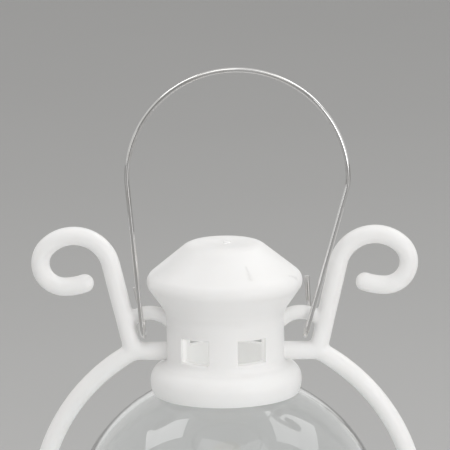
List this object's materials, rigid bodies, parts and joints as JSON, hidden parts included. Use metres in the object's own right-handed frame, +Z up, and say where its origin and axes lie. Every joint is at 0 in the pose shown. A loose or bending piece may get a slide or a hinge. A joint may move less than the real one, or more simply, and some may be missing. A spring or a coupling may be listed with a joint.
{
  "type": "hurricane lantern decoration",
  "caption": "Small white plastic hurricane-style lantern with a clear round globe, vented cap, scrolled side arms, a wire bail and a battery light in its base.",
  "frame": {"origin": "centre of the foot ring on the floor, under the middle of the globe", "axes": "+Z up, the side arms along X, front towards -Y"},
  "size_m": [0.0974, 0.0788, 0.1797],
  "materials": {
    "roof_plastic": "white moulded plastic, satin sheen",
    "chimney_plastic": "white moulded plastic, satin sheen",
    "arm_plastic": "white moulded plastic, satin sheen",
    "base_plastic": "white moulded plastic, satin sheen",
    "cover_plastic": "white moulded plastic, fine grain",
    "cap_plastic": "white moulded plastic, fine grain",
    "burner_plastic": "white moulded plastic, satin sheen",
    "clear_plastic": "clear and glossy",
    "flame_plastic": "frosted, warm white",
    "led_resin": "clear resin, slightly warm",
    "bail_wire": "bright drawn wire",
    "contact_metal": "plated spring strip",
    "cell_metal": "plain pressed steel",
    "board_laminate": "green lacquer",
    "resistor_body": "black",
    "switch_plastic": "black",
    "lever_plastic": "black",
    "screw_metal": "plated"
  },
  "bodies": {
    "lantern": {"roof_cap": "roof_plastic", "chimney": "chimney_plastic", "globe": "clear_plastic", "left_arm": "arm_plastic", "right_arm": "arm_plastic", "tank_body": "base_plastic", "burner": "burner_plastic", "flame_tip": "flame_plastic", "led": "led_resin", "bottom_cover": "cover_plastic", "coin_cell": "cell_metal", "negative_contact": "contact_metal", "positive_contact": "contact_metal", "circuit_board": "board_laminate", "led_resistor": "resistor_body", "switch_case": "switch_plastic", "cover_screws": "screw_metal", "board_screws": "screw_metal"},
    "bail": {"bail": "bail_wire"},
    "switch_lever": {"switch_lever": "lever_plastic"},
    "battery_cap": {"battery_cap": "cap_plastic"}
  },
  "joints": [
    {"name": "bail_swing", "type": "hinge", "parent": "lantern", "child": "bail", "pos_m": [0, 0, 0.11855], "axis": [1, 0, 0], "range_deg": [-90, 75]},
    {"name": "switch_slide", "type": "slide", "parent": "lantern", "child": "switch_lever", "axis": [1, 0, 0], "range_m": [0, 0.0026]},
    {"name": "battery_cap_turn", "type": "hinge", "parent": "lantern", "child": "battery_cap", "pos_m": [0, 0, 0.002], "axis": [0, 0, 1], "range_deg": [0, 60]}
  ]
}
